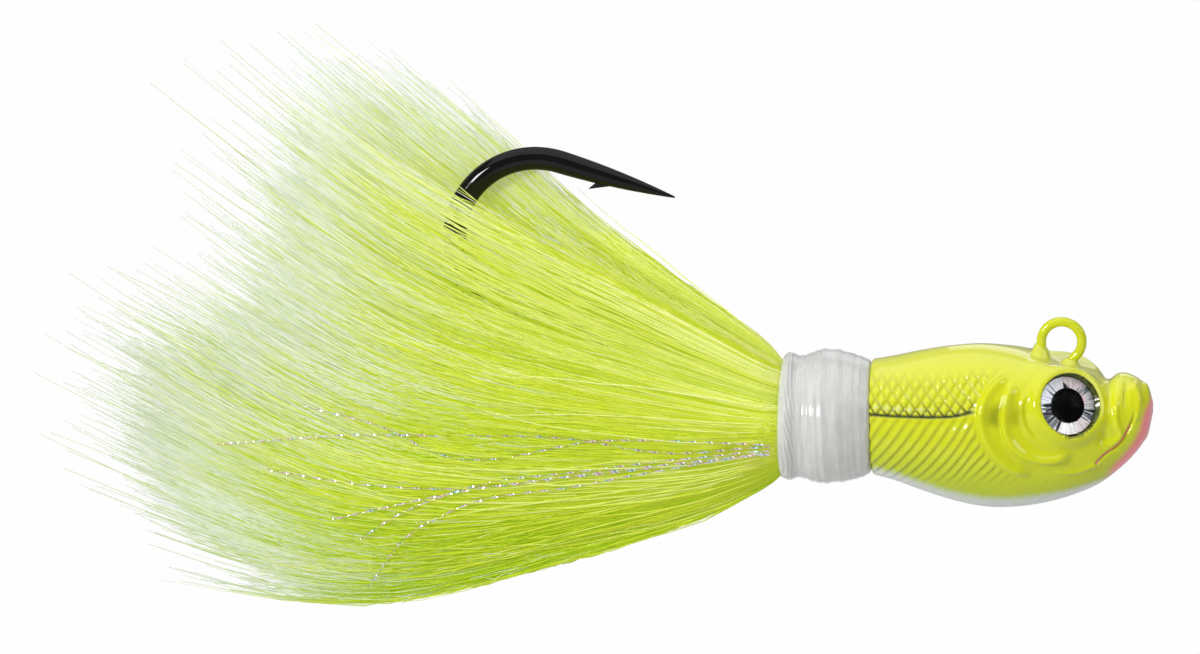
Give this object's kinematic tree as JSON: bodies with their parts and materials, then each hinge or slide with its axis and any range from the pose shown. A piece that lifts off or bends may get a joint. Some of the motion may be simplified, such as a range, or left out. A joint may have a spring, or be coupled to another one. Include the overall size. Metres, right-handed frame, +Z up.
{
  "type": "jig head",
  "caption": "Bucktail jig: fish-shaped painted lead head with raised line-tie loop, domed eyes, white thread wrap, upturned black hook and a flaring chartreuse hair skirt with tinsel.",
  "frame": {"origin": "centre of the line-tie loop on top of the head", "axes": "+X towards the nose, +Z up towards the line tie and hook point, +Y towards the fish's left side; the right side faces -Y"},
  "size_m": [0.1269, 0.0276, 0.0629],
  "materials": {
    "painted_lead": "cast lead under bright chartreuse enamel with a clear gloss coat",
    "black_steel": "forged high-carbon steel with a glossy black nickel finish",
    "painted_wire": "steel wire under the same chartreuse enamel as the head",
    "eye_tape": "double-sided foam tape behind the eye",
    "eye_foil": "silver holographic film with fan-shaped facets",
    "pupil_black": "black printed disc",
    "eye_resin": "clear domed resin",
    "white_thread": "wound white nylon thread",
    "clear_cement": "clear glossy head cement over the thread",
    "white_bucktail": "undyed white deer-tail hair",
    "chartreuse_bucktail": "deer-tail hair dyed chartreuse, paler at the tips",
    "tinsel_film": "thin twisted pearl-silver polyester film"
  },
  "bodies": {
    "head": {"lead_head": "painted_lead", "hook": "black_steel", "line_tie": "painted_wire", "right_eye_pad": "eye_tape", "right_eye_foil": "eye_foil", "right_pupil": "pupil_black", "right_eye_dome": "eye_resin", "left_eye_pad": "eye_tape", "left_eye_foil": "eye_foil", "left_pupil": "pupil_black", "left_eye_dome": "eye_resin", "base_thread": "white_thread", "hair_butts": "white_bucktail", "thread_wrap": "white_thread", "cement_coat": "clear_cement", "white_hair": "white_bucktail"},
    "upper_hair": {"upper_right_hair": "chartreuse_bucktail", "upper_left_hair": "chartreuse_bucktail"},
    "lower_hair": {"lower_right_hair": "chartreuse_bucktail", "lower_left_hair": "chartreuse_bucktail"},
    "right_hair_body": {"right_hair": "chartreuse_bucktail", "right_tinsel_1": "tinsel_film", "right_tinsel_2": "tinsel_film", "right_tinsel_3": "tinsel_film", "right_tinsel_4": "tinsel_film", "right_tinsel_5": "tinsel_film", "right_tinsel_6": "tinsel_film"},
    "left_hair_body": {"left_hair": "chartreuse_bucktail", "left_tinsel_1": "tinsel_film", "left_tinsel_2": "tinsel_film", "left_tinsel_3": "tinsel_film", "left_tinsel_4": "tinsel_film", "left_tinsel_5": "tinsel_film", "left_tinsel_6": "tinsel_film"}
  },
  "joints": [
    {"name": "upper_flare", "type": "hinge", "parent": "head", "child": "upper_hair", "pos_m": [-0.0343, 0, -0.0088], "axis": [0, 1, 0], "range_deg": [0, 12], "stiffness_Nm_per_rad": 0.05, "springref_deg": -8.59},
    {"name": "lower_flare", "type": "hinge", "parent": "head", "child": "lower_hair", "pos_m": [-0.0343, 0, -0.0094], "axis": [0, -1, 0], "range_deg": [0, 12], "stiffness_Nm_per_rad": 0.05, "springref_deg": -8.59},
    {"name": "right_flare", "type": "hinge", "parent": "head", "child": "right_hair_body", "pos_m": [-0.0343, -0.0037, -0.0091], "axis": [0, 0, 1], "range_deg": [0, 12], "stiffness_Nm_per_rad": 0.05, "springref_deg": -8.59},
    {"name": "left_flare", "type": "hinge", "parent": "head", "child": "left_hair_body", "pos_m": [-0.0343, 0.0037, -0.0091], "axis": [0, 0, -1], "range_deg": [0, 12], "stiffness_Nm_per_rad": 0.05, "springref_deg": -8.59}
  ]
}
